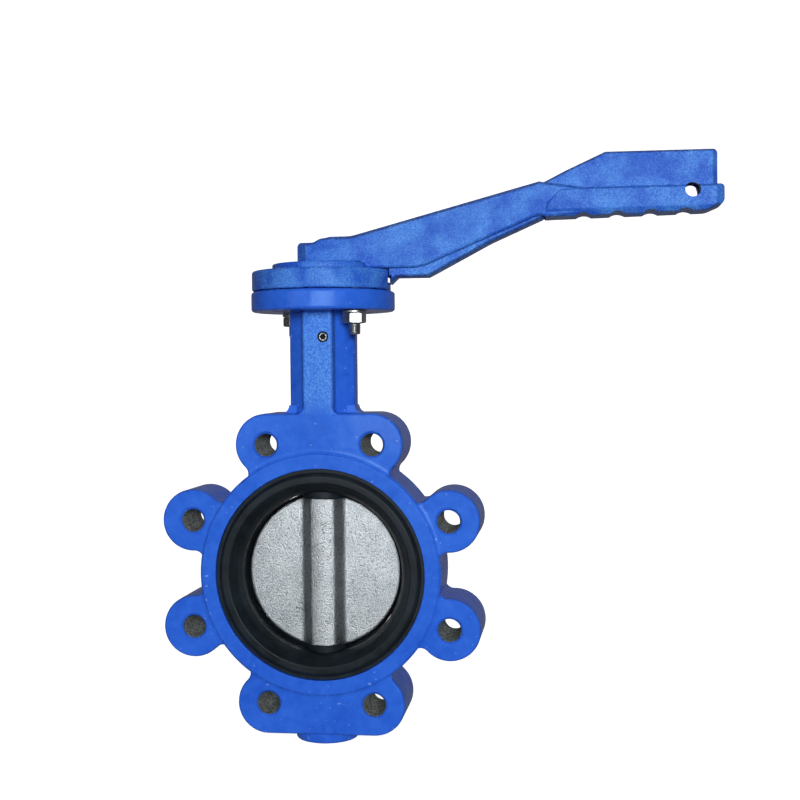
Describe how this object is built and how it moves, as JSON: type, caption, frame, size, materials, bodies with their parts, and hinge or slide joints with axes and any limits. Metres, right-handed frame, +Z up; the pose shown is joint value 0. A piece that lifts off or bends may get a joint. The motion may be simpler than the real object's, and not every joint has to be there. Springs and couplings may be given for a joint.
{
  "type": "butterfly valve",
  "caption": "Lug-type butterfly valve with a round disc on a vertical stem in a rubber seat, turned a quarter by a cranked lever whose squeeze trigger locks into a notched plate.",
  "frame": {"origin": "where the stem axis crosses the pipe axis, at the middle of the valve's face-to-face length", "axes": "+Z up the stem towards the lever, pipe axis along Y, the lever points to +X with the disc closed"},
  "size_m": [0.3589, 0.0936, 0.3762],
  "materials": {
    "blue_paint": "glossy epoxy over cast iron",
    "cast_blue_paint": "satin epoxy over a rough casting",
    "black_rubber": "matte",
    "cast_stainless": "bright cast skin",
    "stem_steel": "turned",
    "zinc_plate": "bright zinc",
    "spring_steel": "drawn wire",
    "bronze": "turned"
  },
  "bodies": {
    "valve_fixed": {"valve_body": "blue_paint", "seat_liner": "black_rubber", "bushing_neck_lower": "bronze", "bushing_neck_upper": "bronze", "bushing_foot": "bronze", "o_ring_neck_lower": "black_rubber", "o_ring_neck_upper": "black_rubber", "o_ring_foot": "black_rubber", "stem_lock_screw": "zinc_plate", "notch_plate": "blue_paint", "plate_stud_front": "zinc_plate", "plate_washer_front": "zinc_plate", "plate_nut_front": "zinc_plate", "plate_stud_rear": "zinc_plate", "plate_washer_rear": "zinc_plate", "plate_nut_rear": "zinc_plate"},
    "stem_and_lever": {"disc": "cast_stainless", "upper_stem": "stem_steel", "lower_stem": "stem_steel", "lever": "cast_blue_paint", "lever_washer": "zinc_plate", "lever_bolt": "zinc_plate", "trigger_pin": "stem_steel", "trigger_spring": "spring_steel"},
    "trigger_lever": {"trigger": "cast_blue_paint"}
  },
  "joints": [
    {"name": "stem_turn", "type": "hinge", "parent": "valve_fixed", "child": "stem_and_lever", "pos_m": [0, 0, 0], "axis": [0, 0, 1], "range_deg": [0, 90]},
    {"name": "trigger_squeeze", "type": "hinge", "parent": "stem_and_lever", "child": "trigger_lever", "pos_m": [0.141, 0, 0.237], "axis": [0, 1, 0], "range_deg": [-2, 1.5], "stiffness_Nm_per_rad": 8, "springref_deg": -5.73, "deforming": ["trigger_spring"]}
  ]
}
